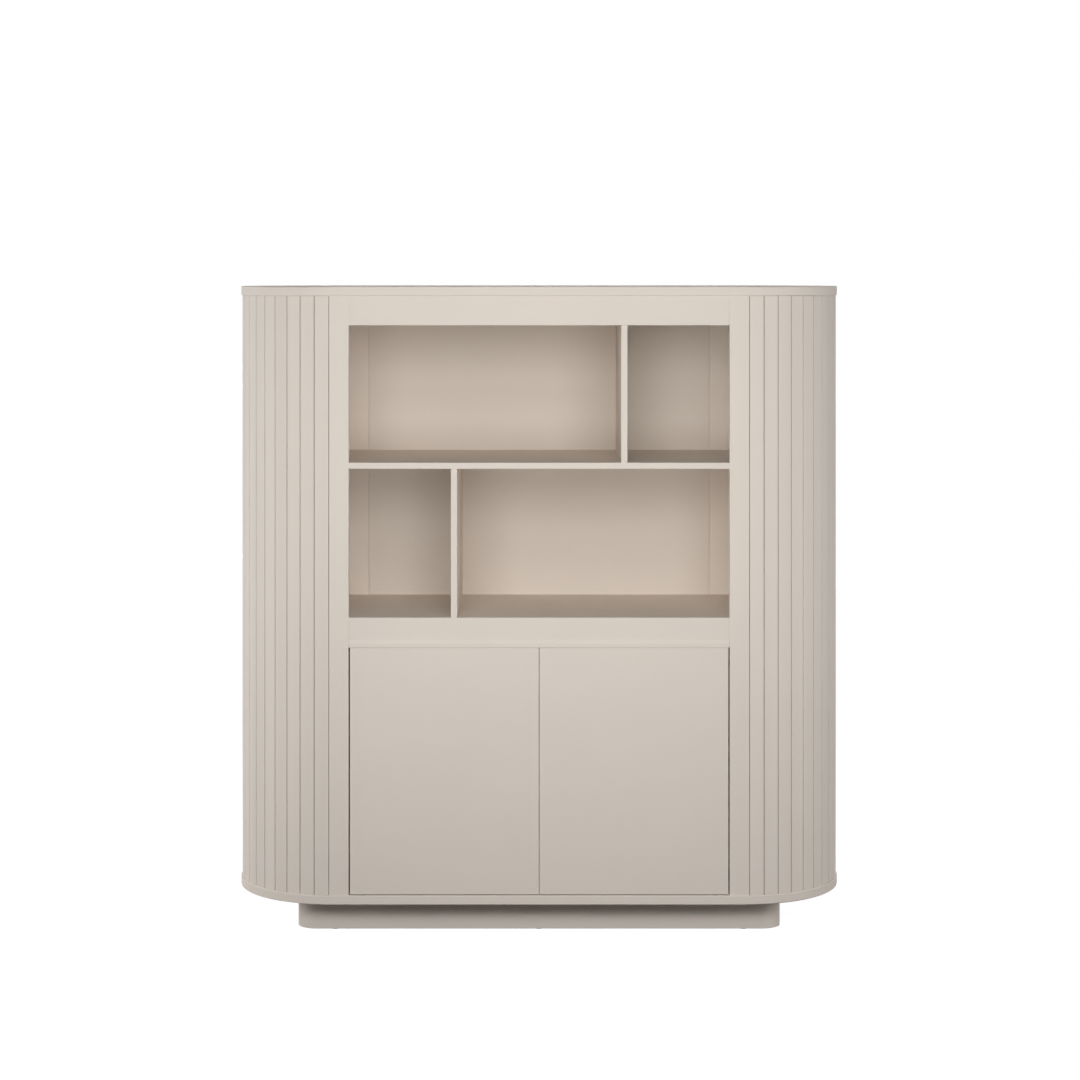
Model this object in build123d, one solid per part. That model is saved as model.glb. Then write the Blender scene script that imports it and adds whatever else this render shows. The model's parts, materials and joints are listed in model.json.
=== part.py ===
from build123d import *
import math
import os

# A free-standing cabinet bookcase: half-round slatted ends, open niches above and two plain doors
# below, on a recessed plinth. Millimetres, +Z up, the front faces -Y and +X is to the right of
# someone who faces the doors. The origin is on the floor, under the middle of the cabinet.

# Top and base boards
overall_width = 1200
overall_depth = 400
board_thickness = 18
board_edge_radius = 1.5
eased_edge = 0.4

# Heights of what the front shows, from the top board down to the base board
top_rail_height = 57
upper_niche_height = 267
shelf_thickness = 12
lower_niche_height = 289
middle_rail_height = 58
door_top_gap = 0.3
door_height = 479
door_bottom_gap = 1.7

# Front frame
stile_width = 38
stile_past_straight = 8
stile_thickness = 20
face_setback = 2
rail_setback = 2
rail_thickness = 18
lip_height = 15
lip_slope_height = 7

# Carcass behind the front frame
interior_behind_stile = 28
upright_thickness = 18
deck_thickness = 18
divider_thickness = 12
small_niche_width = 198.5
partition_thickness = 18
partition_door_clearance = 4
back_panel_thickness = 8
back_strip_width = 44
back_joint_gap = 0.2
back_panel_setback = 34
back_panel_groove = 6
groove_clearance = 0.2

# Half-round ends
slat_count = 21
slat_thickness = 8
slat_slit = 1
groove_chamfer = 0.7
backing_thickness = 3
former_thickness = 18
glue_line = 0.1

# Cupboard shelves and their pins
cupboard_shelf_thickness = 12
cupboard_shelf_end_clearance = 1
cupboard_shelf_back_clearance = 2
cupboard_shelf_door_clearance = 20
shelf_underside_height = 309
shelf_pin_radius = 2.5
shelf_pin_depth = 7
shelf_pin_plate = 10
shelf_pin_plate_width = 14
shelf_pin_plate_thickness = 2
shelf_pin_edge_distance = 50
shelf_hole_pitch = 32
shelf_holes_each_way = 2

# Doors and their pivots
door_thickness = 18
door_side_gap = 2.5
door_meeting_gap = 1
pivot_edge_distance = 24.5
pivot_face_distance = 8
pivot_radius = 3
pivot_running_clearance = 0.05
pivot_engagement = 11
pivot_shank_radius = 4
pivot_head_radius = 6
pivot_head_thickness = 2.5
top_pivot_depth = 20
bush_radius = 5
bush_length = 12.5
bush_flange_radius = 6.5

# Push latches
latch_below_door_top = 50
latch_housing_length = 56
latch_housing_width = 14
latch_housing_height = 26
latch_housing_setback = 8
latch_neck_length = 6
latch_cap_thickness = 4
latch_plunger_radius = 4.2
latch_plunger_length = 38
latch_plunger_wall = 1.2
latch_plunger_tip = 4
latch_tip_round = 1
latch_collar_radius = 5.2
latch_collar_length = 3
latch_running_clearance = 0.05
latch_travel = 3
latch_tip_gap = 0.3
latch_spring_radius = 2.2
latch_spring_wire = 0.35
latch_spring_turns = 12
strike_radius = 8
strike_thickness = 1.5
latch_screw_radius = 1.5
latch_screw_length = 26
latch_screw_head_radius = 2.8
latch_screw_spacing = 14

# Plinth
plinth_height = 65
plinth_end_inset = 123
plinth_front_inset = 70
plinth_corner_radius = 38
plinth_thickness = 18
plinth_cross_rail_offset = 160
glide_radius = 8
glide_height = 1
glide_spike_radius = 2
glide_spike_length = 12
glide_corner_distance = 37
bracket_leg = 22
bracket_width = 20
bracket_thickness = 2
bracket_corner_distance = 137
bracket_screw_radius = 1.8
bracket_screw_length = 14
bracket_screw_head_radius = 3.4

# Fasteners of the carcass
dowel_radius = 3
dowel_depth = 8
dowel_hole_extra = 0.5
dowel_front_distance = 80
dowel_back_distance = 50
rail_dowel_spacing = 30
former_dowel_spacing = 120
cam_radius = 7.5
cam_depth = 13
cam_end_distance = 34
cam_cross_reach = 3
cam_cross_depth = 2
cam_bolt_radius = 3
cam_bolt_grip = 11
cam_front_distance = 130
cam_back_distance = 100
panel_screw_radius = 1.75
panel_screw_length = 26
panel_screw_head_radius = 3.5
panel_screw_head_height = 2.4
partition_screw_spacing = 200
hole_clearance = 0.1
cross_width = 0.8
cross_share_of_shank = 0.9
cross_share_of_head = 0.7

# Places worked out from those sizes
half_depth = overall_depth / 2
front_y = -half_depth
end_centre_x = overall_width / 2 - half_depth
stile_outer_x = end_centre_x + stile_past_straight
opening_half = stile_outer_x - stile_width
interior_half = opening_half + interior_behind_stile

base_bottom = plinth_height
base_top = base_bottom + board_thickness
door_bottom = base_top + door_bottom_gap
door_top = door_bottom + door_height
middle_rail_bottom = door_top + door_top_gap
deck_top = middle_rail_bottom + middle_rail_height
deck_bottom = deck_top - deck_thickness
shelf_bottom = deck_top + lower_niche_height
shelf_top = shelf_bottom + shelf_thickness
top_rail_bottom = shelf_top + upper_niche_height
top_board_bottom = top_rail_bottom + top_rail_height

stile_front = front_y + face_setback
stile_back = stile_front + stile_thickness
rail_front = stile_front + rail_setback
rail_back = rail_front + rail_thickness
door_front = stile_front
door_back = door_front + door_thickness
back_panel_back = half_depth - back_panel_setback
back_panel_front = back_panel_back - back_panel_thickness
back_panel_half = interior_half - back_strip_width
back_strip_inner = back_panel_half + back_joint_gap

slat_radius = half_depth - face_setback
slat_inner_radius = slat_radius - slat_thickness
first_slat_angle = math.degrees(math.asin((stile_outer_x - end_centre_x) / slat_inner_radius))
slat_pitch = (180 - first_slat_angle) / slat_count
slat_half_angle = math.radians(slat_pitch / 2)
slat_face_distance = slat_radius * math.cos(slat_half_angle)
backing_outer = slat_face_distance - slat_thickness - glue_line
backing_inner = backing_outer - backing_thickness
former_radius = backing_inner - glue_line
upright_outer_x = interior_half + upright_thickness
upright_back = math.sqrt(former_radius**2 - (upright_outer_x - end_centre_x) ** 2)
upright_middle_x = interior_half + upright_thickness / 2

divider_outer_x = opening_half - small_niche_width
divider_middle_x = divider_outer_x - divider_thickness / 2
partition_half = partition_thickness / 2
partition_front = door_back + partition_door_clearance
cupboard_shelf_front = door_back + cupboard_shelf_door_clearance
cupboard_shelf_back = back_panel_front - cupboard_shelf_back_clearance
cupboard_shelf_bottom = shelf_underside_height

door_outer_x = opening_half - door_side_gap
door_inner_x = door_meeting_gap / 2
pivot_x = door_outer_x - pivot_edge_distance
pivot_y = door_front + pivot_face_distance
bush_bore_radius = pivot_radius + pivot_running_clearance

latch_x = partition_half + latch_housing_width / 2
latch_z = door_top - latch_below_door_top
latch_tip_y = door_back + strike_thickness + latch_tip_gap
latch_front = latch_tip_y + latch_housing_setback
latch_back = latch_front + latch_housing_length
latch_neck_end = latch_front + latch_neck_length
latch_cap_front = latch_back - latch_cap_thickness
latch_neck_radius = latch_plunger_radius + latch_running_clearance
latch_bore_radius = latch_collar_radius + latch_running_clearance

plinth_bottom = glide_height
plinth_half_length = overall_width / 2 - plinth_end_inset
plinth_half_depth = half_depth - plinth_front_inset
plinth_rail_middle_y = plinth_half_depth - plinth_thickness / 2
corner_x = plinth_half_length - plinth_corner_radius
corner_y = plinth_half_depth - plinth_corner_radius
glide_x = corner_x - glide_corner_distance
bracket_x = corner_x - bracket_corner_distance

dowel_rows = (front_y + dowel_front_distance, back_panel_front - dowel_back_distance)
cam_rows = (front_y + cam_front_distance, back_panel_front - cam_back_distance)
former_middle_x = (upright_outer_x + end_centre_x + former_radius) / 2
sides = {"left": -1, "right": 1}


def block(x, y, z):
    """A square block between two ends on each axis."""
    middle = Pos(sum(x) / 2, sum(y) / 2, sum(z) / 2)
    return middle * Box(abs(x[1] - x[0]), abs(y[1] - y[0]), abs(z[1] - z[0]))


def rod(start, direction, radius, length):
    """A round bar from a point, along a direction."""
    return Solid.make_cylinder(radius, length, Plane(origin=start, z_dir=direction))


def placed_on(side, shape):
    """A shape drawn for the right-hand side, or its mirror image for the left."""
    return shape if side == "right" else mirror(shape, Plane.YZ)


def front_of(piece):
    return piece.faces().sort_by(Axis.Y)[0]


def back_of(piece):
    return piece.faces().sort_by(Axis.Y)[-1]


def eased(*faces):
    """The piece that some faces belong to, with the edges round them slightly broken."""
    return chamfer([edge for face in faces for edge in face.edges()], eased_edge)


def extruded(outline, bottom, top):
    """A plan outline raised from one height to another."""
    return Pos(0, 0, bottom) * extrude(make_face(outline), amount=top - bottom)


def cross_recess(centre, direction, reach, depth):
    """The room that a cross-headed driver needs, cut in from a face along a direction."""
    bars = Box(2 * reach, cross_width, 2 * depth) + Box(cross_width, 2 * reach, 2 * depth)
    return Plane(origin=centre, z_dir=direction).location * bars


def screw(head_centre, direction, radius, length, head_radius, head_height, extra=0):
    """A countersunk screw that points along a direction, or its plain hole where extra is given."""
    plane = Plane(origin=head_centre, z_dir=direction)
    head = Solid.make_cone(head_radius + extra, radius + extra, head_height, plane)
    body = head + rod(head_centre, direction, radius + extra, length + extra)
    if extra:
        return body
    reach = radius * cross_share_of_shank
    return body - cross_recess(head_centre, direction, reach, head_height * cross_share_of_head)


# Joints of the carcass: each is a point on the face where two pieces meet, and the joint's direction
def dowel_joints():
    joints = []
    for sign in sides.values():
        for rail_middle in (
            (top_rail_bottom + top_board_bottom) / 2,
            (middle_rail_bottom + deck_top) / 2,
        ):
            for step in (-rail_dowel_spacing / 2, rail_dowel_spacing / 2):
                place = (sign * opening_half, (rail_front + rail_back) / 2, rail_middle + step)
                joints.append((place, (1, 0, 0)))
        for row in dowel_rows:
            for level in (base_top, top_board_bottom):
                joints.append(((sign * upright_middle_x, row, level), (0, 0, 1)))
            for level in (deck_top - deck_thickness / 2, shelf_bottom + shelf_thickness / 2):
                joints.append(((sign * interior_half, row, level), (1, 0, 0)))
        for step in (-former_dowel_spacing / 2, former_dowel_spacing / 2):
            for level in (base_top, top_board_bottom):
                joints.append(((sign * former_middle_x, step, level), (0, 0, 1)))
    for row in dowel_rows:
        joints.append(((0, row, base_top), (0, 0, 1)))
        joints.append(((0, row, deck_bottom), (0, 0, 1)))
        joints.append(((divider_middle_x, row, shelf_top), (0, 0, 1)))
        joints.append(((divider_middle_x, row, top_board_bottom), (0, 0, 1)))
        joints.append(((-divider_middle_x, row, deck_top), (0, 0, 1)))
        joints.append(((-divider_middle_x, row, shelf_bottom), (0, 0, 1)))
    return joints


def dowel(joint, extra=0, longer=0):
    place, direction = joint
    half_length = dowel_depth + longer
    start = Vector(*place) - Vector(*direction) * half_length
    return rod(start, direction, dowel_radius + extra, 2 * half_length)


def carcass_dowels():
    return [dowel(joint) for joint in dowel_joints()]


def dowel_holes():
    return [dowel(joint, hole_clearance, dowel_hole_extra) for joint in dowel_joints()]


# Cam locks that pull the uprights against the base board and the top board
def cam_places():
    places = []
    for sign in sides.values():
        for row in cam_rows:
            places.append((sign, row, base_top, 1))
            places.append((sign, row, top_board_bottom, -1))
    return places


def cam_rooms(extra=0):
    """The plain round space of each cam disc."""
    rooms = []
    for sign, row, level, upward in cam_places():
        centre = (sign * interior_half, row, level + upward * cam_end_distance)
        rooms.append(rod(centre, (sign, 0, 0), cam_radius + extra, cam_depth + extra))
    return rooms


def cam_discs():
    discs = []
    for room, (sign, row, level, upward) in zip(cam_rooms(), cam_places()):
        centre = (sign * interior_half, row, level + upward * cam_end_distance)
        discs.append(room - cross_recess(centre, (sign, 0, 0), cam_cross_reach, cam_cross_depth))
    return discs


def cam_bolts(extra=0, longer=0):
    bolts = []
    for sign, row, level, upward in cam_places():
        start = (sign * upright_middle_x, row, level - upward * cam_bolt_grip)
        length = cam_bolt_grip + cam_end_distance - cam_radius - hole_clearance + longer
        bolts.append(rod(start, (0, 0, upward), cam_bolt_radius + extra, length))
    return bolts


# Screws through the back panel into the edges behind which it stands
def panel_screws(extra=0):
    partition_middle = (base_top + deck_bottom) / 2
    quarter = back_panel_half / 2
    strip_middle = (back_strip_inner + interior_half) / 2
    places = []
    for x in (-strip_middle, -1.5 * quarter, -0.5 * quarter, 0.5 * quarter, 1.5 * quarter, strip_middle):
        places.append((x, shelf_bottom + shelf_thickness / 2))
        places.append((x, deck_top - deck_thickness / 2))
    for step in (-partition_screw_spacing / 2, partition_screw_spacing / 2):
        places.append((0, partition_middle + step))
    places.append((divider_middle_x, (shelf_top + top_board_bottom) / 2))
    places.append((-divider_middle_x, (deck_top + shelf_bottom) / 2))
    return [
        screw(
            (x, back_panel_back, z),
            (0, -1, 0),
            panel_screw_radius,
            panel_screw_length,
            panel_screw_head_radius,
            panel_screw_head_height,
            extra,
        )
        for x, z in places
    ]


# Holes for shelf pins, in columns on the uprights and the partition
def shelf_pin_columns():
    """The face each column is drilled in, the way it is drilled and its distance from the back."""
    columns = []
    for sign in sides.values():
        for y in (
            cupboard_shelf_front + shelf_pin_edge_distance,
            cupboard_shelf_back - shelf_pin_edge_distance,
        ):
            columns.append((sign * interior_half, sign, y))
            columns.append((sign * partition_half, -sign, y))
    return columns


def shelf_pin_height():
    return cupboard_shelf_bottom - shelf_pin_radius


def shelf_pin_holes():
    holes = []
    for x, way, y in shelf_pin_columns():
        for step in range(-shelf_holes_each_way, shelf_holes_each_way + 1):
            start = (x, y, shelf_pin_height() + step * shelf_hole_pitch)
            depth = shelf_pin_depth + dowel_hole_extra
            holes.append(rod(start, (way, 0, 0), shelf_pin_radius + hole_clearance, depth))
    return holes


def shelf_pin(x, way, y):
    """A round peg in the wall and a flat plate that the shelf lies on."""
    peg_end = x - way * shelf_pin_plate
    peg = rod((peg_end, y, shelf_pin_height()), (way, 0, 0), shelf_pin_radius,
              shelf_pin_plate + shelf_pin_depth)
    half_width = shelf_pin_plate_width / 2
    plate_bottom = cupboard_shelf_bottom - shelf_pin_plate_thickness
    plate = block(
        (x, x - way * shelf_pin_plate),
        (y - half_width, y + half_width),
        (plate_bottom, cupboard_shelf_bottom),
    )
    return peg + plate


def shelf_pins():
    return [shelf_pin(*column) for column in shelf_pin_columns()]


def drilled(piece, holes):
    """The piece with every hole that reaches it."""
    box = piece.bounding_box()
    near = []
    for hole in holes:
        other = hole.bounding_box()
        apart = any(
            low > high
            for low, high in (
                (box.min.X, other.max.X),
                (other.min.X, box.max.X),
                (box.min.Y, other.max.Y),
                (other.min.Y, box.max.Y),
                (box.min.Z, other.max.Z),
                (other.min.Z, box.max.Z),
            )
        )
        if not apart:
            near.append(hole)
    return piece - near if near else piece


# Boards
def stadium_board(bottom):
    """A board with two half-round ends and rounded edges above and below."""
    board = Pos(0, 0, bottom) * extrude(
        SlotOverall(overall_width, overall_depth), amount=board_thickness
    )
    faces = board.faces().sort_by(Axis.Z)
    return fillet(faces[0].edges() + faces[-1].edges(), board_edge_radius)


def back_panel_slot():
    """The space that the back panel and its running room take in the boards round it."""
    reach = interior_half + back_panel_groove + groove_clearance
    return block(
        (-reach, reach),
        (back_panel_front - groove_clearance, back_panel_back + groove_clearance),
        (
            base_top - back_panel_groove - groove_clearance,
            top_board_bottom + back_panel_groove + groove_clearance,
        ),
    )


def top_board(holes):
    return drilled(stadium_board(top_board_bottom) - back_panel_slot(), holes)


def base_board(holes):
    return drilled(stadium_board(base_bottom) - back_panel_slot(), holes)


def upright(sign, holes):
    board = block(
        (sign * interior_half, sign * upright_outer_x),
        (stile_back, upright_back),
        (base_top, top_board_bottom),
    )
    return drilled(board - back_panel_slot(), holes)


def back_board(x, holes):
    """A thin board in the plane of the back, its upright front edges eased."""
    board = block(
        x,
        (back_panel_front, back_panel_back),
        (base_top - back_panel_groove, top_board_bottom + back_panel_groove),
    )
    edges = front_of(board).edges().filter_by(Axis.Z)
    return drilled(chamfer(edges, eased_edge), holes)


def back_panel(holes):
    return back_board((-back_panel_half, back_panel_half), holes)


def back_strip(sign, holes):
    """It closes the back between the panel and the upright, whose groove it stands in."""
    return back_board((sign * back_strip_inner, sign * (interior_half + back_panel_groove)), holes)


# Front frame
def stile(holes):
    """The right-hand stile: its front edges are eased."""
    outline = Polyline(
        (opening_half, stile_front + eased_edge),
        (opening_half + eased_edge, stile_front),
        (stile_outer_x - eased_edge, stile_front),
        (stile_outer_x, stile_front + eased_edge),
        (stile_outer_x, stile_back),
        (opening_half, stile_back),
        close=True,
    )
    return drilled(extruded(outline, base_top, top_board_bottom), holes)


def top_rail(holes):
    rail = block(
        (-opening_half, opening_half),
        (rail_front, rail_back),
        (top_rail_bottom, top_board_bottom),
    )
    return drilled(eased_bottom_front(rail), holes)


def eased_bottom_front(rail):
    edge = front_of(rail).edges().sort_by(Axis.Z)[0]
    return chamfer(edge, eased_edge)


def middle_rail(holes):
    """The rail above the doors: its lower edge slopes forward to a lip level with the doors."""
    lip_top = middle_rail_bottom + lip_height
    slope_bottom = lip_top - lip_slope_height
    outline = Plane.YZ * Polyline(
        (rail_back, deck_top),
        (rail_back, middle_rail_bottom),
        (stile_front, middle_rail_bottom),
        (stile_front, slope_bottom),
        (rail_front, lip_top),
        (rail_front, deck_top - eased_edge),
        (rail_front + eased_edge, deck_top),
        close=True,
    )
    rail = Pos(-opening_half, 0, 0) * extrude(make_face(outline), amount=2 * opening_half, dir=(1, 0, 0))
    return drilled(rail, holes)


# Shelves and dividers of the niches
def niche_shelf(holes):
    """The thin shelf: full width behind the stiles, its front edge showing between them."""
    behind = block(
        (-interior_half, interior_half), (stile_back, back_panel_front), (shelf_bottom, shelf_top)
    )
    between = block(
        (-opening_half, opening_half), (rail_front, stile_back), (shelf_bottom, shelf_top)
    )
    shelf = behind + between
    edges = front_of(shelf).edges().filter_by(Axis.X)
    return drilled(chamfer(edges, eased_edge), holes)


def niche_deck(holes):
    """The floor of the lower niches, behind the middle rail and the stiles."""
    deck = block(
        (-interior_half, interior_half), (rail_back, back_panel_front), (deck_bottom, deck_top)
    )
    return drilled(deck, holes)


def divider(middle_x, bottom, top):
    half = divider_thickness / 2
    board = block(
        (middle_x - half, middle_x + half), (rail_front, back_panel_front), (bottom, top)
    )
    edges = front_of(board).edges().filter_by(Axis.Z)
    return chamfer(edges, eased_edge)


def upper_divider(holes):
    """It passes behind the top rail, up to the top board."""
    board = divider(divider_middle_x, shelf_top, top_board_bottom)
    rail_room = block(
        (divider_middle_x - divider_thickness, divider_middle_x + divider_thickness),
        (front_y, rail_back),
        (top_rail_bottom, top_board_bottom),
    )
    return drilled(board - rail_room, holes)


def lower_divider(holes):
    return drilled(divider(-divider_middle_x, deck_top, shelf_bottom), holes)


# Cupboard
def cupboard_partition(holes):
    board = block(
        (-partition_half, partition_half),
        (partition_front, back_panel_front),
        (base_top, deck_bottom),
    )
    return drilled(board, holes)


def cupboard_shelf(sign):
    board = block(
        (
            sign * (partition_half + cupboard_shelf_end_clearance),
            sign * (interior_half - cupboard_shelf_end_clearance),
        ),
        (cupboard_shelf_front, cupboard_shelf_back),
        (cupboard_shelf_bottom, cupboard_shelf_bottom + cupboard_shelf_thickness),
    )
    return eased(front_of(board))


# Half-round ends, drawn on the right
def slat(angle):
    """A flat slat whose outer edges are chamfered, so that each pair leaves a groove."""
    half_tangent = math.tan(slat_half_angle)

    def half_width(distance):
        return distance * half_tangent - slat_slit / 2

    shoulder = slat_face_distance - groove_chamfer
    inner = slat_face_distance - slat_thickness
    face_half = half_width(slat_face_distance) - groove_chamfer
    outline = Polyline(
        (slat_face_distance, -face_half),
        (slat_face_distance, face_half),
        (shoulder, half_width(shoulder)),
        (inner, half_width(inner)),
        (inner, -half_width(inner)),
        (shoulder, -half_width(shoulder)),
        close=True,
    )
    bar = extruded(outline, base_top, top_board_bottom)
    return Pos(end_centre_x, 0, 0) * Rot(0, 0, angle - 90) * bar


def slats():
    first_middle = first_slat_angle + slat_pitch / 2
    return [slat(first_middle + number * slat_pitch) for number in range(slat_count)]


def half_plane(from_x, length):
    """A square larger than the half-round end, to the right of a given place."""
    return Pos(from_x + length / 2, 0) * Rectangle(length, 2 * length)


def slat_backing():
    """The thin bent sheet that the slats are glued to."""
    ring = Circle(backing_outer) - Circle(backing_inner)
    bent = (Pos(end_centre_x, 0) * ring) & half_plane(end_centre_x, overall_depth)
    stile_room = Pos(end_centre_x, -half_depth) * Rectangle(
        2 * (stile_outer_x - end_centre_x), overall_depth
    )
    return Pos(0, 0, base_top) * extrude(bent - stile_room, amount=top_board_bottom - base_top)


def former(bottom, holes):
    """A D-shaped rib that holds the bent sheet to its curve."""
    outline = (Pos(end_centre_x, 0) * Circle(former_radius)) & half_plane(
        upright_outer_x, overall_depth
    )
    rib = Pos(0, 0, bottom) * extrude(outline, amount=former_thickness)
    return drilled(rib, holes)


# Doors
def door(sign):
    panel = block(
        (sign * door_inner_x, sign * door_outer_x), (door_front, door_back), (door_bottom, door_top)
    )
    panel = eased(front_of(panel), back_of(panel))
    bush_holes = [
        rod((sign * pivot_x, pivot_y, door_bottom), (0, 0, 1), bush_radius, bush_length),
        rod((sign * pivot_x, pivot_y, door_top), (0, 0, -1), bush_radius, bush_length),
    ]
    return panel - bush_holes


def bottom_bush(sign):
    """It stands on the base board with its flange, which fills the gap under the door."""
    centre = (sign * pivot_x, pivot_y)
    body = rod((*centre, door_bottom), (0, 0, 1), bush_radius - hole_clearance, bush_length)
    flange = rod((*centre, base_top), (0, 0, 1), bush_flange_radius, door_bottom_gap)
    bore = rod((*centre, base_top), (0, 0, 1), bush_bore_radius, door_bottom_gap + bush_length)
    return body + flange - bore


def top_bush(sign):
    centre = (sign * pivot_x, pivot_y)
    body = rod((*centre, door_top), (0, 0, -1), bush_radius - hole_clearance, bush_length)
    bore = rod((*centre, door_top), (0, 0, -1), bush_bore_radius, bush_length)
    return body - bore


def bottom_pivot_pins(extra=0):
    """Headed pins, pressed up through the base board into the doors."""
    pins = []
    for sign in sides.values():
        centre = (sign * pivot_x, pivot_y)
        head = rod((*centre, base_bottom), (0, 0, 1), pivot_head_radius + extra, pivot_head_thickness)
        shank = rod((*centre, base_bottom), (0, 0, 1), pivot_shank_radius + extra, board_thickness)
        nose_length = door_bottom_gap + pivot_engagement
        nose = rod((*centre, base_top), (0, 0, 1), pivot_radius, nose_length)
        pins.append(head + shank + nose)
    return pins


def top_pivot_pins(extra=0):
    """Plain pins, pressed up into the middle rail above the doors."""
    length = pivot_engagement + door_top_gap + top_pivot_depth
    return [
        rod((sign * pivot_x, pivot_y, door_top - pivot_engagement), (0, 0, 1),
            pivot_radius + extra, length)
        for sign in sides.values()
    ]


# Push latches, one for each door
def latch_screws(extra=0):
    """Two screws above the plunger of each latch, into the partition."""
    middle_y = (latch_front + latch_back) / 2
    height = latch_z + latch_housing_height / 2 - latch_screw_head_radius - latch_screw_radius
    length = latch_housing_width + partition_half - latch_screw_radius
    screws = []
    for sign in sides.values():
        for step in (-latch_screw_spacing, latch_screw_spacing):
            head = (sign * (partition_half + latch_housing_width), middle_y + step, height)
            screws.append(
                screw(head, (-sign, 0, 0), latch_screw_radius, length, latch_screw_head_radius,
                      latch_screw_radius, extra)
            )
    return screws


def latch_housing(sign, holes):
    """A case with a narrow neck in front, which holds the plunger's collar back."""
    half_height = latch_housing_height / 2
    case = block(
        (sign * partition_half, sign * (partition_half + latch_housing_width)),
        (latch_front, latch_back),
        (latch_z - half_height, latch_z + half_height),
    )
    neck = rod(
        (sign * latch_x, latch_front, latch_z), (0, 1, 0), latch_neck_radius, latch_neck_length
    )
    bore = rod(
        (sign * latch_x, latch_neck_end, latch_z), (0, 1, 0), latch_bore_radius,
        latch_back - latch_neck_end,
    )
    return drilled(case - neck - bore, holes)


def latch_end_caps():
    """Plugs that close the housings behind the springs."""
    return [
        rod((sign * latch_x, latch_cap_front, latch_z), (0, 1, 0),
            latch_bore_radius - hole_clearance, latch_cap_thickness)
        for sign in sides.values()
    ]


def latch_plunger(sign):
    """A hollow plunger: its closed tip meets the strike plate, its spring pushes inside it."""
    start = (sign * latch_x, latch_tip_y, latch_z)
    body = rod(start, (0, 1, 0), latch_plunger_radius, latch_plunger_length)
    body = fillet(front_of(body).edges(), latch_tip_round)
    collar = rod(
        (sign * latch_x, latch_neck_end, latch_z), (0, 1, 0), latch_collar_radius,
        latch_collar_length,
    )
    hollow_start = (sign * latch_x, latch_tip_y + latch_plunger_tip, latch_z)
    hollow = rod(
        hollow_start, (0, 1, 0), latch_plunger_radius - latch_plunger_wall, latch_plunger_length
    )
    return body + collar - hollow


def latch_spring(sign):
    """A coil spring at its pressed length, seated on the cap at the back of the housing."""
    start = latch_tip_y + latch_plunger_tip + latch_travel + latch_tip_gap + latch_spring_wire
    length = latch_cap_front - latch_spring_wire - start
    coil = Helix(pitch=length / latch_spring_turns, height=length, radius=latch_spring_radius)
    wire = Plane(origin=coil @ 0, z_dir=coil % 0) * Circle(latch_spring_wire)
    spring = sweep(wire, path=coil)
    place = Plane(origin=(sign * latch_x, start, latch_z), z_dir=(0, 1, 0))
    return place.location * spring


def strike_plate(sign):
    return rod((sign * latch_x, door_back, latch_z), (0, 1, 0), strike_radius, strike_thickness)


# Plinth
def plinth_long_rail(sign, holes):
    rail = block(
        (-corner_x, corner_x),
        (sign * (plinth_half_depth - plinth_thickness), sign * plinth_half_depth),
        (plinth_bottom, base_bottom),
    )
    return drilled(rail, holes)


def plinth_end_rail(sign):
    return block(
        (sign * (plinth_half_length - plinth_thickness), sign * plinth_half_length),
        (-corner_y, corner_y),
        (plinth_bottom, base_bottom),
    )


def plinth_corner_post(sign_x, sign_y):
    """A solid quarter-round post that the rails butt against."""
    disc = Pos(corner_x, corner_y) * Circle(plinth_corner_radius)
    quarter = Pos(plinth_half_length, plinth_half_depth) * Rectangle(
        2 * plinth_corner_radius, 2 * plinth_corner_radius
    )
    post = Pos(0, 0, plinth_bottom) * extrude(disc & quarter, amount=base_bottom - plinth_bottom)
    post = post if sign_x > 0 else mirror(post, Plane.YZ)
    return post if sign_y > 0 else mirror(post, Plane.XZ)


def plinth_corner_posts():
    signs = sides.values()
    return [plinth_corner_post(sign_x, sign_y) for sign_x in signs for sign_y in signs]


def plinth_cross_rails():
    reach = plinth_half_depth - plinth_thickness
    half = plinth_thickness / 2
    return [
        block(
            (sign * plinth_cross_rail_offset - half, sign * plinth_cross_rail_offset + half),
            (-reach, reach),
            (plinth_bottom, base_bottom),
        )
        for sign in sides.values()
    ]


def bracket_places():
    signs = sides.values()
    return [(side_sign * bracket_x, sign) for side_sign in signs for sign in signs]


def plinth_bracket(x, sign, holes):
    """A steel angle between the inner face of a plinth rail and the base board."""
    inner_face = sign * (plinth_half_depth - plinth_thickness)
    half = bracket_width / 2
    upright_leg = block(
        (x - half, x + half),
        (inner_face, inner_face - sign * bracket_thickness),
        (base_bottom - bracket_leg, base_bottom),
    )
    flat_leg = block(
        (x - half, x + half),
        (inner_face, inner_face - sign * bracket_leg),
        (base_bottom - bracket_thickness, base_bottom),
    )
    return drilled(upright_leg + flat_leg, holes)


def plinth_brackets(holes):
    return [plinth_bracket(x, sign, holes) for x, sign in bracket_places()]


def plinth_bracket_screws(extra=0):
    """One screw up into the base board and one into the plinth rail, at each bracket."""
    screws = []
    reach = bracket_leg / 2 + bracket_thickness
    size = (bracket_screw_radius, bracket_screw_length, bracket_screw_head_radius, bracket_thickness)
    for x, sign in bracket_places():
        inner_face = sign * (plinth_half_depth - plinth_thickness)
        up = (x, inner_face - sign * reach, base_bottom - bracket_thickness)
        out = (x, inner_face - sign * bracket_thickness, base_bottom - reach)
        screws.append(screw(up, (0, 0, 1), *size, extra))
        screws.append(screw(out, (0, sign, 0), *size, extra))
    return screws


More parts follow.
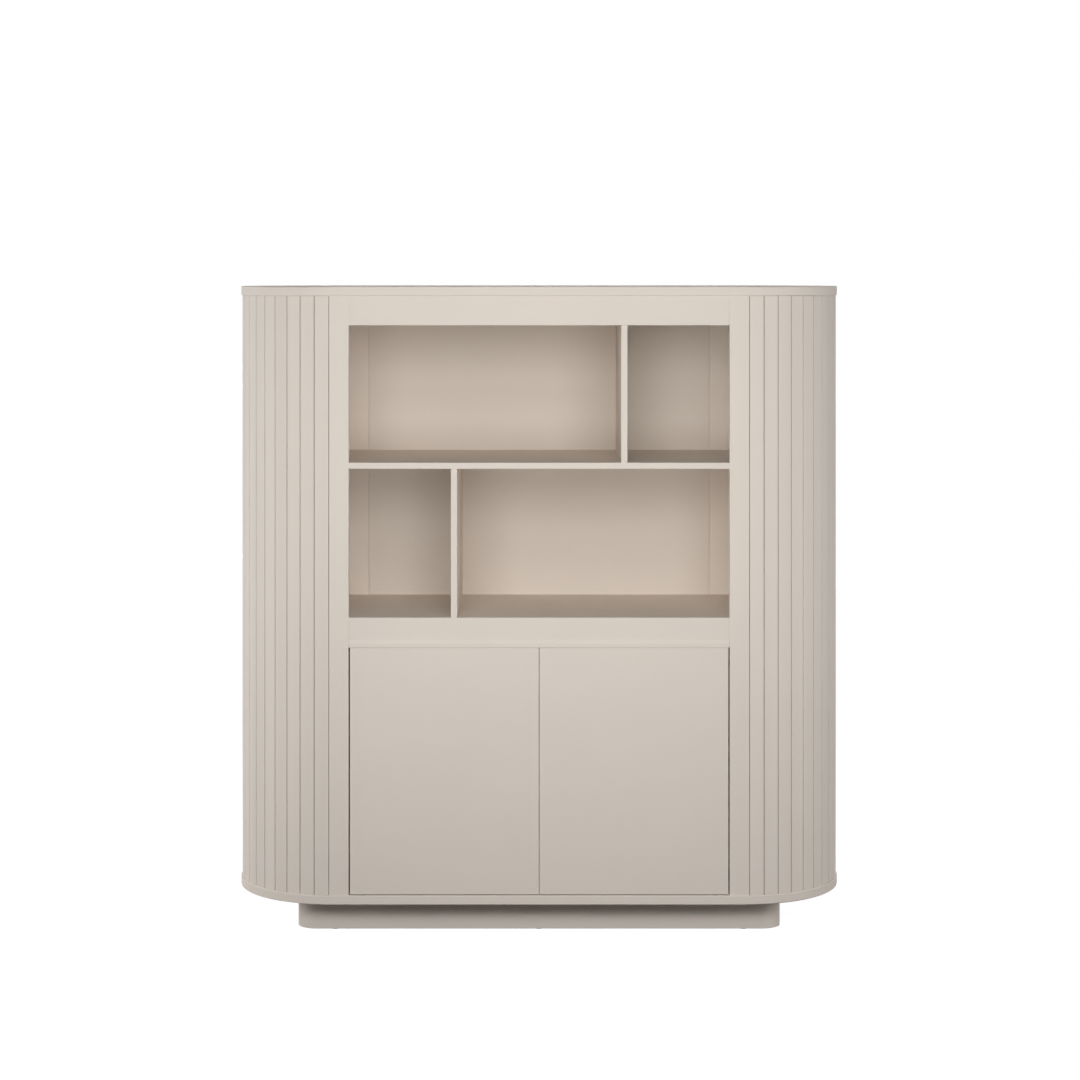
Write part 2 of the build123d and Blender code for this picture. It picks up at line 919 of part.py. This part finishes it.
def glides(extra=0):
    """Nylon discs under the plinth, each on a spike."""
    pieces = []
    for sign in sides.values():
        for x in (-glide_x, 0, glide_x):
            centre = (x, sign * plinth_rail_middle_y)
            disc = rod((*centre, 0), (0, 0, 1), glide_radius, glide_height)
            spike_length = glide_height + glide_spike_length + extra
            spike = rod((*centre, 0), (0, 0, 1), glide_spike_radius + extra, spike_length)
            pieces.append(disc + spike)
    return pieces


def all_pieces():
    holes = dowel_holes() + cam_rooms(hole_clearance) + cam_bolts(hole_clearance, cam_radius)
    holes += panel_screws(hole_clearance) + shelf_pin_holes()
    holes += bottom_pivot_pins(hole_clearance) + top_pivot_pins(hole_clearance)
    holes += latch_screws(hole_clearance) + plinth_bracket_screws(hole_clearance)
    holes += glides(hole_clearance)

    pieces = {
        "top_board": top_board(holes),
        "base_board": base_board(holes),
        "back_panel": back_panel(holes),
        "top_rail": top_rail(holes),
        "middle_rail": middle_rail(holes),
        "niche_shelf": niche_shelf(holes),
        "niche_deck": niche_deck(holes),
        "upper_divider": upper_divider(holes),
        "lower_divider": lower_divider(holes),
        "cupboard_partition": cupboard_partition(holes),
        "shelf_pins": shelf_pins(),
        "carcass_dowels": carcass_dowels(),
        "cam_discs": cam_discs(),
        "cam_bolts": cam_bolts(),
        "back_panel_screws": panel_screws(),
        "bottom_pivot_pins": bottom_pivot_pins(),
        "top_pivot_pins": top_pivot_pins(),
        "latch_end_caps": latch_end_caps(),
        "latch_screws": latch_screws(),
        "plinth_front_rail": plinth_long_rail(-1, holes),
        "plinth_back_rail": plinth_long_rail(1, holes),
        "plinth_left_rail": plinth_end_rail(-1),
        "plinth_right_rail": plinth_end_rail(1),
        "plinth_corner_posts": plinth_corner_posts(),
        "plinth_cross_rails": plinth_cross_rails(),
        "plinth_brackets": plinth_brackets(holes),
        "plinth_bracket_screws": plinth_bracket_screws(),
        "plinth_glides": glides(),
    }
    stile_right = stile(holes)
    slats_right = slats()
    backing_right = slat_backing()
    former_middle = (base_top + top_board_bottom - former_thickness) / 2
    formers_right = {
        "bottom": former(base_top, holes),
        "middle": former(former_middle, holes),
        "top": former(top_board_bottom - former_thickness, holes),
    }
    for side, sign in sides.items():
        pieces[f"{side}_upright"] = upright(sign, holes)
        pieces[f"{side}_stile"] = placed_on(side, stile_right)
        pieces[f"{side}_back_strip"] = back_strip(sign, holes)
        pieces[f"{side}_end_slats"] = [placed_on(side, bar) for bar in slats_right]
        pieces[f"{side}_slat_backing"] = placed_on(side, backing_right)
        for level, rib in formers_right.items():
            pieces[f"{side}_{level}_former"] = placed_on(side, rib)
        pieces[f"{side}_cupboard_shelf"] = cupboard_shelf(sign)
        pieces[f"{side}_door"] = door(sign)
        pieces[f"{side}_door_bottom_bush"] = bottom_bush(sign)
        pieces[f"{side}_door_top_bush"] = top_bush(sign)
        pieces[f"{side}_latch_housing"] = latch_housing(sign, holes)
        pieces[f"{side}_latch_plunger"] = latch_plunger(sign)
        pieces[f"{side}_latch_spring"] = latch_spring(sign)
        pieces[f"{side}_latch_strike_plate"] = strike_plate(sign)
    return pieces


os.makedirs("parts", exist_ok=True)
for name, piece in all_pieces().items():
    shape = Compound(piece) if isinstance(piece, list) else piece
    export_step(shape, f"parts/{name}.step")
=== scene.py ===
import json
import math

import bpy
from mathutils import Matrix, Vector

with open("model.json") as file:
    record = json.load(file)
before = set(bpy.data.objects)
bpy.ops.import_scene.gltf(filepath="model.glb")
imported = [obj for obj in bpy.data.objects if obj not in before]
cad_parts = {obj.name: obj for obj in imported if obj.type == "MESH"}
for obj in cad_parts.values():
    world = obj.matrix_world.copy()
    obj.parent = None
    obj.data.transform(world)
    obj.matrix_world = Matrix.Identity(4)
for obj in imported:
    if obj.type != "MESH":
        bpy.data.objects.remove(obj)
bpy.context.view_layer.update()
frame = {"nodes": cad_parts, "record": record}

nodes = frame["nodes"]
scene = bpy.context.scene

# Lengths are in metres, colours are linear and noise scales are per metre.

# The camera of the photograph: level, in front of the cabinet and just above its top
LENS_MM = 85.28
SENSOR_MM = 36.0
CAMERA_PLACE = (0.0, -5.166, 1.3005)
CAMERA_SHIFT = (0.0008, -0.2515)

# Colours
LACQUER = (0.745, 0.657, 0.565)
# Paler lacquer for the edges: rubbed wear and also a painted highlight
RUBBED_AND_HIGHLIT_LACQUER = (0.79, 0.705, 0.615)
RAW_BOARD = (0.36, 0.235, 0.135)
BEECH = (0.56, 0.37, 0.20)
ZINC = (0.52, 0.53, 0.55)
STEEL = (0.56, 0.57, 0.59)
NYLON = (0.30, 0.29, 0.27)
WHITE = (1.0, 1.0, 1.0)

# Lacquer
LACQUER_SPECULAR = 0.2
LACQUER_SPECULAR_TINT = (1.0, 0.86, 0.70)
# The back strips in the niche corners are painted this much lighter: painted light that lifts the
# shade falling there.
BACK_STRIP_PAINTED_LIGHT = 1.06

# Edges of the lacquer: rubbed, and painted paler as a highlight, where the cosine between the
# rounded and the true direction of the surface is at the first value or below, untouched where it
# is at the second or above
EDGE_RADIUS = 0.0007
BEVEL_SAMPLES = 4
EDGE_COSINES = (0.80, 0.985)

# Grooves between the slats: full painted shade where the surface is as open as the first value,
# no painted shade where it is as open as the second
GROOVE_REACH = 0.006
GROOVE_SAMPLES = 8
GROOVE_OPENNESS = (0.35, 0.9)
GROOVE_SHADE = 0.62

# Scales of a noise texture along X, Y and Z: a small one draws it out along that axis
ALONG_SLATS = (1.0, 1.0, 0.01)
ALONG_DOWELS = (1.0, 1.0, 0.1)
ALONG_DRAWN_STEEL = (1.0, 1.0, 0.06)

# Most values of a noise texture lie between these
NOISE_SPREAD = (0.3, 0.7)

# The upright axis of each half-round end is this far from the middle of the cabinet, and a
# surface goes from looking sideways to looking away from that axis between these cosines
END_CENTRE = 0.4
FACING_COSINES = (0.6, 0.8)

# Stage. The floor throws little light back on the cabinet. The camera sees another floor, which
# glows, shows faint shadows close to the cabinet and turns into plain white farther off.
WORLD_STRENGTH = 0.02
FLOOR_SIZE = 60.0
FLOOR = (0.08, 0.08, 0.08)
FLOOR_ROUGHNESS = 0.9
SEEN_FLOOR = (0.5, 0.5, 0.5)
SEEN_FLOOR_GLOW = 0.88
WHITE_FLOOR_STARTS = 0.9
WHITE_FLOOR_FULL = 2.0

# Soft panels, three in front, two at each end, one above and one behind: the place of each, the
# point that it faces, its width and height, and its watts
DAYLIGHT = (0.97, 1.0, 1.045)
LAMPS = {
    "key_low": ((0.0, -1.7, 0.85), (0.0, 0.0, 0.85), (1.4, 0.4), 10.8),
    "key_middle": ((0.0, -2.7, 1.65), (0.0, 0.0, 1.2), (2.0, 0.7), 24.0),
    "key_high": ((0.0, -2.5, 2.5), (0.0, 0.0, 1.0), (2.0, 0.7), 9.3),
    "left_low": ((-3.0, -0.8, 0.55), (0.0, 0.0, 0.5), (1.5, 1.1), 25.0),
    "left_rear": ((-2.8, 1.0, 0.9), (-0.4, 0.0, 0.7), (1.5, 1.8), 26.0),
    "right_low": ((3.0, -1.0, 0.5), (0.0, 0.0, 0.5), (1.5, 1.0), 23.5),
    "right_rear": ((2.8, 1.0, 0.9), (0.4, 0.0, 0.7), (1.5, 1.8), 7.0),
    "top_soft": ((0.0, 0.4, 3.0), (0.0, 0.1, 0.0), (1.6, 1.2), 6.0),
    "back_soft": ((0.0, 3.0, 0.9), (0.0, 0.0, 0.7), (2.4, 1.2), 50.0),
}


# Node trees. A value, colour or direction is passed on as the output socket that gives it.
def new_material(name):
    """A new material that has only a principled shader, linked to its output."""
    material = bpy.data.materials.new(name)
    material.use_nodes = True
    tree = material.node_tree
    tree.nodes.clear()
    output = tree.nodes.new("ShaderNodeOutputMaterial")
    shader = tree.nodes.new("ShaderNodeBsdfPrincipled")
    tree.links.new(shader.outputs["BSDF"], output.inputs["Surface"])
    return material, tree, shader


def darker(colour, share):
    """The colour with only a share of its light."""
    return tuple(channel * share for channel in colour)


def object_coordinate(tree):
    return tree.nodes.new("ShaderNodeTexCoord").outputs["Object"]


def true_normal(tree):
    return tree.nodes.new("ShaderNodeNewGeometry").outputs["True Normal"]


def noise(tree, coordinate, scale, detail, roughness=0.5, stretch=None):
    """A noise texture in object space, drawn out along an axis where stretch is given."""
    node = tree.nodes.new("ShaderNodeTexNoise")
    node.inputs["Scale"].default_value = scale
    node.inputs["Detail"].default_value = detail
    node.inputs["Roughness"].default_value = roughness
    if stretch:
        mapping = tree.nodes.new("ShaderNodeMapping")
        mapping.inputs["Scale"].default_value = stretch
        tree.links.new(coordinate, mapping.inputs["Vector"])
        coordinate = mapping.outputs["Vector"]
    tree.links.new(coordinate, node.inputs["Vector"])
    return node.outputs["Fac"]


def ranged(tree, value, to, within=(0.0, 1.0)):
    """The value carried over from one range to another, and held at its ends."""
    node = tree.nodes.new("ShaderNodeMapRange")
    node.inputs["From Min"].default_value, node.inputs["From Max"].default_value = within
    node.inputs["To Min"].default_value, node.inputs["To Max"].default_value = to
    tree.links.new(value, node.inputs["Value"])
    return node.outputs["Result"]


def combined(tree, operation, first, second):
    """Two values put together by an operation of the Math node."""
    node = tree.nodes.new("ShaderNodeMath")
    node.operation = operation
    tree.links.new(first, node.inputs[0])
    tree.links.new(second, node.inputs[1])
    return node.outputs["Value"]


def times(tree, first, second):
    return combined(tree, "MULTIPLY", first, second)


def vector_math(tree, operation, first, second=None, output="Vector"):
    """An operation on vectors, of which the second may be a tuple."""
    node = tree.nodes.new("ShaderNodeVectorMath")
    node.operation = operation
    tree.links.new(first, node.inputs[0])
    if isinstance(second, tuple):
        node.inputs[1].default_value = second
    elif second is not None:
        tree.links.new(second, node.inputs[1])
    return node.outputs[output]


def cosine_between(tree, first, second):
    """The cosine of the angle between two directions of length 1."""
    return vector_math(tree, "DOT_PRODUCT", first, second, "Value")


def shaded(tree, colour, amount):
    """The colour multiplied by a grey value."""
    node = tree.nodes.new("ShaderNodeMix")
    node.data_type = "RGBA"
    node.blend_type = "MULTIPLY"
    node.inputs["Factor"].default_value = 1.0
    node.inputs["A"].default_value = (*colour, 1.0)
    tree.links.new(amount, node.inputs["B"])
    return node.outputs["Result"]


def mixed(tree, colour_a, colour_b, factor):
    """Colour a where the factor is 0, colour b where it is 1. Each may be a tuple."""
    node = tree.nodes.new("ShaderNodeMix")
    node.data_type = "RGBA"
    for socket, colour in (("A", colour_a), ("B", colour_b)):
        if isinstance(colour, tuple):
            node.inputs[socket].default_value = (*colour, 1.0)
        else:
            tree.links.new(colour, node.inputs[socket])
    tree.links.new(factor, node.inputs["Factor"])
    return node.outputs["Result"]


def bumped(tree, shader, height, strength, distance, normal=None):
    node = tree.nodes.new("ShaderNodeBump")
    node.inputs["Strength"].default_value = strength
    node.inputs["Distance"].default_value = distance
    tree.links.new(height, node.inputs["Height"])
    if normal is not None:
        tree.links.new(normal, node.inputs["Normal"])
    tree.links.new(node.outputs["Normal"], shader.inputs["Normal"])


def rounded_normal(tree):
    """The surface direction with every hard edge rounded over by a small radius."""
    node = tree.nodes.new("ShaderNodeBevel")
    node.samples = BEVEL_SAMPLES
    node.inputs["Radius"].default_value = EDGE_RADIUS
    return node.outputs["Normal"]


def edge_mask(tree, rounded):
    """1 on the rounded edges, 0 on the flats."""
    cosine = cosine_between(tree, rounded, true_normal(tree))
    return ranged(tree, cosine, (1.0, 0.0), EDGE_COSINES)


def groove_painted_shade(tree):
    """1 on open faces, less down in the narrow grooves: painted shade where little light gets in.
    """
    node = tree.nodes.new("ShaderNodeAmbientOcclusion")
    node.samples = GROOVE_SAMPLES
    node.inputs["Distance"].default_value = GROOVE_REACH
    return ranged(tree, node.outputs["AO"], (GROOVE_SHADE, 1.0), GROOVE_OPENNESS)


def facing_out(tree, place, centre_x):
    """1 where the surface looks away from the upright axis at centre_x, else 0."""
    arm = vector_math(tree, "SUBTRACT", place, (centre_x, 0.0, 0.0))
    level_arm = vector_math(tree, "MULTIPLY", arm, (1.0, 1.0, 0.0))
    outward = vector_math(tree, "NORMALIZE", level_arm)
    cosine = cosine_between(tree, outward, true_normal(tree))
    return ranged(tree, cosine, (0.0, 1.0), FACING_COSINES)


# Materials
def lacquer_material(name, lightness=1.0, slatted=False):
    """Matt lacquer: a faint orange peel, soft clouds in its colour and gloss, and edges that are
    rubbed smoother and a little paler by wear, with a painted highlight in that paler colour. On
    slats its colour also changes from one slat to the next, and painted shade darkens the grooves
    between them."""
    material, tree, shader = new_material(name)
    place = object_coordinate(tree)
    clouds = noise(tree, place, scale=3.2, detail=3.0)
    fine = noise(tree, place, scale=38.0, detail=2.0)
    peel = noise(tree, place, scale=520.0, detail=2.0, roughness=0.55)
    tint = ranged(tree, clouds, (0.985 * lightness, 1.012 * lightness), NOISE_SPREAD)
    if slatted:
        streaks = noise(tree, place, scale=30.0, detail=0.0, stretch=ALONG_SLATS)
        slat_tint = ranged(tree, streaks, (0.975, 1.02), NOISE_SPREAD)
        # The grooves between the slats are darkened with painted shade.
        tint = times(tree, times(tree, tint, slat_tint), groove_painted_shade(tree))
    rounded = rounded_normal(tree)
    # The edges are rubbed paler by wear and also carry a painted highlight; noise makes it
    # patchy.
    rubbed_and_highlit_places = noise(tree, place, scale=26.0, detail=3.0)
    rubbing_and_highlight = ranged(tree, rubbed_and_highlit_places, (0.25, 1.0), (0.35, 0.65))
    worn_and_highlit = times(tree, edge_mask(tree, rounded), rubbing_and_highlight)
    colour = mixed(tree, shaded(tree, LACQUER, tint), RUBBED_AND_HIGHLIT_LACQUER, worn_and_highlit)
    tree.links.new(colour, shader.inputs["Base Color"])
    roughness = ranged(tree, fine, (0.5, 0.58), NOISE_SPREAD)
    polish = ranged(tree, worn_and_highlit, (1.0, 0.78))
    tree.links.new(times(tree, roughness, polish), shader.inputs["Roughness"])
    shader.inputs["Specular IOR Level"].default_value = LACQUER_SPECULAR
    shader.inputs["Specular Tint"].default_value = (*LACQUER_SPECULAR_TINT, 1.0)
    bumped(tree, shader, peel, strength=0.10, distance=0.0002, normal=rounded)
    return material


def fibreboard_material(name, colour, lacquered_round=None):
    """Raw fibreboard: no grain, only short felted fibres, dark flecks and soft patches. The face
    that looks away from the upright axis at lacquered_round, where that is given, has lacquer on
    it, because the half-round end is sprayed with its slats in place."""
    material, tree, shader = new_material(name)
    place = object_coordinate(tree)
    felt = noise(tree, place, scale=420.0, detail=5.0, roughness=0.7)
    flecks = noise(tree, place, scale=900.0, detail=1.0)
    patches = noise(tree, place, scale=9.0, detail=2.0)
    felt_tint = ranged(tree, felt, (0.80, 1.14), NOISE_SPREAD)
    patch_tint = ranged(tree, patches, (0.93, 1.05), NOISE_SPREAD)
    base = shaded(tree, colour, times(tree, felt_tint, patch_tint))
    fleck_share = ranged(tree, flecks, (0.0, 0.6), (0.62, 0.74))
    surface = mixed(tree, base, darker(colour, share=0.5), fleck_share)
    if lacquered_round is not None:
        surface = mixed(tree, surface, LACQUER, facing_out(tree, place, lacquered_round))
    roughness = ranged(tree, felt, (0.74, 0.9))
    tree.links.new(surface, shader.inputs["Base Color"])
    tree.links.new(roughness, shader.inputs["Roughness"])
    bumped(tree, shader, felt, strength=0.3, distance=0.0003)
    return material


def wood_material(name, colour, grain):
    """Unfinished wood: fibres drawn out along one axis, darker patches, a rough surface."""
    material, tree, shader = new_material(name)
    place = object_coordinate(tree)
    fibres = noise(tree, place, scale=60.0, detail=4.0, roughness=0.65, stretch=grain)
    patches = noise(tree, place, scale=6.0, detail=2.0)
    fibre_tint = ranged(tree, fibres, (0.72, 1.12), (0.25, 0.75))
    patch_share = ranged(tree, patches, (0.0, 0.35), (0.45, 0.75))
    base = shaded(tree, colour, fibre_tint)
    surface = mixed(tree, base, darker(colour, share=0.72), patch_share)
    roughness = ranged(tree, fibres, (0.62, 0.82))
    tree.links.new(surface, shader.inputs["Base Color"])
    tree.links.new(roughness, shader.inputs["Roughness"])
    bumped(tree, shader, fibres, strength=0.25, distance=0.0004)
    return material


def metal_material(name, colour, roughness, brush=None):
    """Dull metal with a blotchy colour and a fine grain, which is drawn out into lines where
    brush is given."""
    material, tree, shader = new_material(name)
    place = object_coordinate(tree)
    grain = noise(tree, place, scale=700.0, detail=2.0, stretch=brush)
    blotches = noise(tree, place, scale=90.0, detail=3.0)
    blotch_tint = ranged(tree, blotches, (0.86, 1.08), NOISE_SPREAD)
    uneven_roughness = ranged(tree, grain, (roughness - 0.07, roughness + 0.1), NOISE_SPREAD)
    tree.links.new(shaded(tree, colour, blotch_tint), shader.inputs["Base Color"])
    shader.inputs["Metallic"].default_value = 1.0
    tree.links.new(uneven_roughness, shader.inputs["Roughness"])
    bumped(tree, shader, grain, strength=0.18, distance=0.0001)
    return material


def nylon_material(name, colour):
    """Moulded nylon: an even, slightly grained surface."""
    material, tree, shader = new_material(name)
    place = object_coordinate(tree)
    grain = noise(tree, place, scale=1400.0, detail=2.0)
    flow = noise(tree, place, scale=55.0, detail=3.0)
    flow_tint = ranged(tree, flow, (0.9, 1.08), NOISE_SPREAD)
    roughness = ranged(tree, grain, (0.48, 0.62), NOISE_SPREAD)
    tree.links.new(shaded(tree, colour, flow_tint), shader.inputs["Base Color"])
    tree.links.new(roughness, shader.inputs["Roughness"])
    bumped(tree, shader, grain, strength=0.2, distance=0.00008)
    return material


def finish_pieces():
    """Gives each piece the material of its slot, or a variant of it where it needs its own."""
    materials = {
        "lacquered_board": lacquer_material("lacquer"),
        "raw_board": fibreboard_material("raw_board", RAW_BOARD),
        "beech_dowel": wood_material("beech", BEECH, ALONG_DOWELS),
        "zinc": metal_material("cast_zinc", ZINC, roughness=0.42),
        "steel": metal_material("plated_steel", STEEL, roughness=0.32, brush=ALONG_DRAWN_STEEL),
        "nylon": nylon_material("nylon", NYLON),
    }
    slat_lacquer = lacquer_material("slat_lacquer", slatted=True)
    # A lighter copy of the lacquer for the back strips: painted light against the shade in the
    # niche corners.
    strip_lacquer_painted_light = lacquer_material("strip_lacquer_painted_light", lightness=BACK_STRIP_PAINTED_LIGHT)
    own_finish = {
        "left_slat_backing": fibreboard_material("left_backing", RAW_BOARD, -END_CENTRE),
        "right_slat_backing": fibreboard_material("right_backing", RAW_BOARD, END_CENTRE),
        "left_end_slats": slat_lacquer,
        "right_end_slats": slat_lacquer,
        "left_back_strip": strip_lacquer_painted_light,
        "right_back_strip": strip_lacquer_painted_light,
    }
    slot_of = {entry["node"]: entry["material_slot"] for entry in frame["record"]["subparts"]}
    for name, node in nodes.items():
        node.data.materials.clear()
        node.data.materials.append(own_finish.get(name, materials[slot_of[name]]))


# Stage
def camera_white(tree):
    """1 for rays from the camera, in mirrors and through glass; 0 for the light on the object."""
    path = tree.nodes.new("ShaderNodeLightPath")
    seen = path.outputs["Is Camera Ray"]
    for kind in ("Is Glossy Ray", "Is Transmission Ray"):
        seen = combined(tree, "MAXIMUM", seen, path.outputs[kind])
    return seen


def white_light(tree, kind, strength):
    """White light from a surface, of kind Emission, or from the world, of kind Background."""
    node = tree.nodes.new("ShaderNode" + kind)
    node.inputs["Color"].default_value = (*WHITE, 1.0)
    node.inputs["Strength"].default_value = strength
    return node.outputs[kind]


def mixed_shader(tree, factor, shader_a, shader_b):
    """Shader a where the factor is 0, shader b where it is 1."""
    node = tree.nodes.new("ShaderNodeMixShader")
    tree.links.new(factor, node.inputs["Fac"])
    tree.links.new(shader_a, node.inputs[1])
    tree.links.new(shader_b, node.inputs[2])
    return node.outputs["Shader"]


def make_world():
    world = bpy.data.worlds.new("studio")
    scene.world = world
    world.use_nodes = True
    tree = world.node_tree
    tree.nodes.clear()
    output = tree.nodes.new("ShaderNodeOutputWorld")
    faint = white_light(tree, "Background", WORLD_STRENGTH)
    white = white_light(tree, "Background", 1.0)
    mix = mixed_shader(tree, camera_white(tree), faint, white)
    tree.links.new(mix, output.inputs["Surface"])


def floor_mesh():
    half = FLOOR_SIZE / 2
    mesh = bpy.data.meshes.new("floor")
    corners = [(-half, -half, 0), (half, -half, 0), (half, half, 0), (-half, half, 0)]
    mesh.from_pydata(corners, [], [(0, 1, 2, 3)])
    return mesh


def floor_material():
    """One floor for the light on the object, another for the camera, and none from below."""
    material, tree, shader = new_material("floor")
    shader.inputs["Base Color"].default_value = (*FLOOR, 1.0)
    shader.inputs["Roughness"].default_value = FLOOR_ROUGHNESS
    shader.inputs["Specular IOR Level"].default_value = 0.0
    shadowed = tree.nodes.new("ShaderNodeBsdfDiffuse")
    shadowed.inputs["Color"].default_value = (*SEEN_FLOOR, 1.0)
    near = tree.nodes.new("ShaderNodeAddShader")
    tree.links.new(shadowed.outputs["BSDF"], near.inputs[0])
    tree.links.new(white_light(tree, "Emission", SEEN_FLOOR_GLOW), near.inputs[1])
    white = white_light(tree, "Emission", 1.0)
    distance = vector_math(tree, "LENGTH", object_coordinate(tree), output="Value")
    far = ranged(tree, distance, (0.0, 1.0), (WHITE_FLOOR_STARTS, WHITE_FLOOR_FULL))
    seen = mixed_shader(tree, far, near.outputs["Shader"], white)
    above = mixed_shader(tree, camera_white(tree), shader.outputs["BSDF"], seen)
    from_below = tree.nodes.new("ShaderNodeNewGeometry").outputs["Backfacing"]
    clear = tree.nodes.new("ShaderNodeBsdfTransparent").outputs["BSDF"]
    surface = mixed_shader(tree, from_below, above, clear)
    tree.links.new(surface, tree.nodes["Material Output"].inputs["Surface"])
    return material


def make_floor():
    floor = bpy.data.objects.new("floor", floor_mesh())
    scene.collection.objects.link(floor)
    floor.data.materials.append(floor_material())


def area_light(name, place, target, size, power):
    data = bpy.data.lights.new(name, "AREA")
    data.shape = "RECTANGLE"
    data.size, data.size_y = size
    data.energy = power
    data.color = DAYLIGHT
    lamp = bpy.data.objects.new(name, data)
    scene.collection.objects.link(lamp)
    lamp.location = place
    direction = Vector(target) - Vector(place)
    lamp.rotation_euler = direction.to_track_quat("-Z", "Y").to_euler()


def make_camera():
    data = bpy.data.cameras.new("camera")
    data.sensor_width = SENSOR_MM
    data.lens = LENS_MM
    data.shift_x, data.shift_y = CAMERA_SHIFT
    camera = bpy.data.objects.new("camera", data)
    scene.collection.objects.link(camera)
    camera.location = CAMERA_PLACE
    camera.rotation_euler = (math.radians(90), 0.0, 0.0)
    scene.camera = camera


finish_pieces()
make_world()
make_floor()
for lamp_name, lamp_settings in LAMPS.items():
    area_light(lamp_name, *lamp_settings)
make_camera()
scene.view_settings.view_transform = "Standard"
